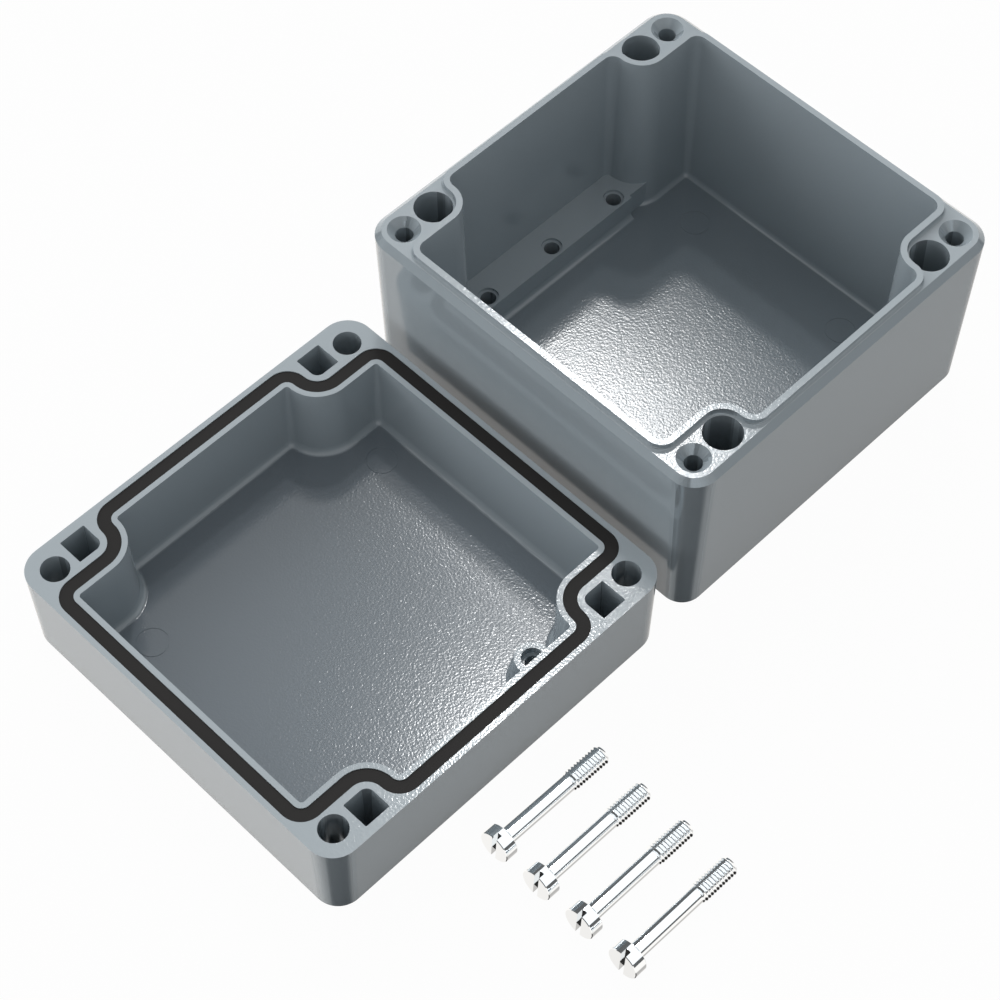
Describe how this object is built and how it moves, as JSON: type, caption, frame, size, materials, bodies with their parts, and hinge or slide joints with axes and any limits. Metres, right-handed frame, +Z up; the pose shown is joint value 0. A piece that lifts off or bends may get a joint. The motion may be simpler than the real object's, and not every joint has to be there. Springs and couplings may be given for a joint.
{
  "type": "die cast aluminium box",
  "caption": "Square die cast enclosure shown open: deep base with tongue rim and corner screw bosses, lid lying beside it with a seal in its groove, and loose slotted lid screws.",
  "frame": {"origin": "centre of the base's underside, on the surface that the base, lid and screws lie on", "axes": "+Z up out of the open base, -Y from the base towards the lid, +X from the lid towards the screws"},
  "size_m": [0.1862, 0.2462, 0.0617],
  "materials": {
    "coated_aluminium": "silver grey powder coat, fine orange peel",
    "seal_rubber": "matte black",
    "plated_steel": "bright zinc plate"
  },
  "bodies": {
    "root": {"base": "coated_aluminium", "lid": "coated_aluminium", "seal": "seal_rubber", "lid_screw_1": "plated_steel", "lid_screw_2": "plated_steel", "lid_screw_3": "plated_steel", "lid_screw_4": "plated_steel"}
  },
  "joints": []
}
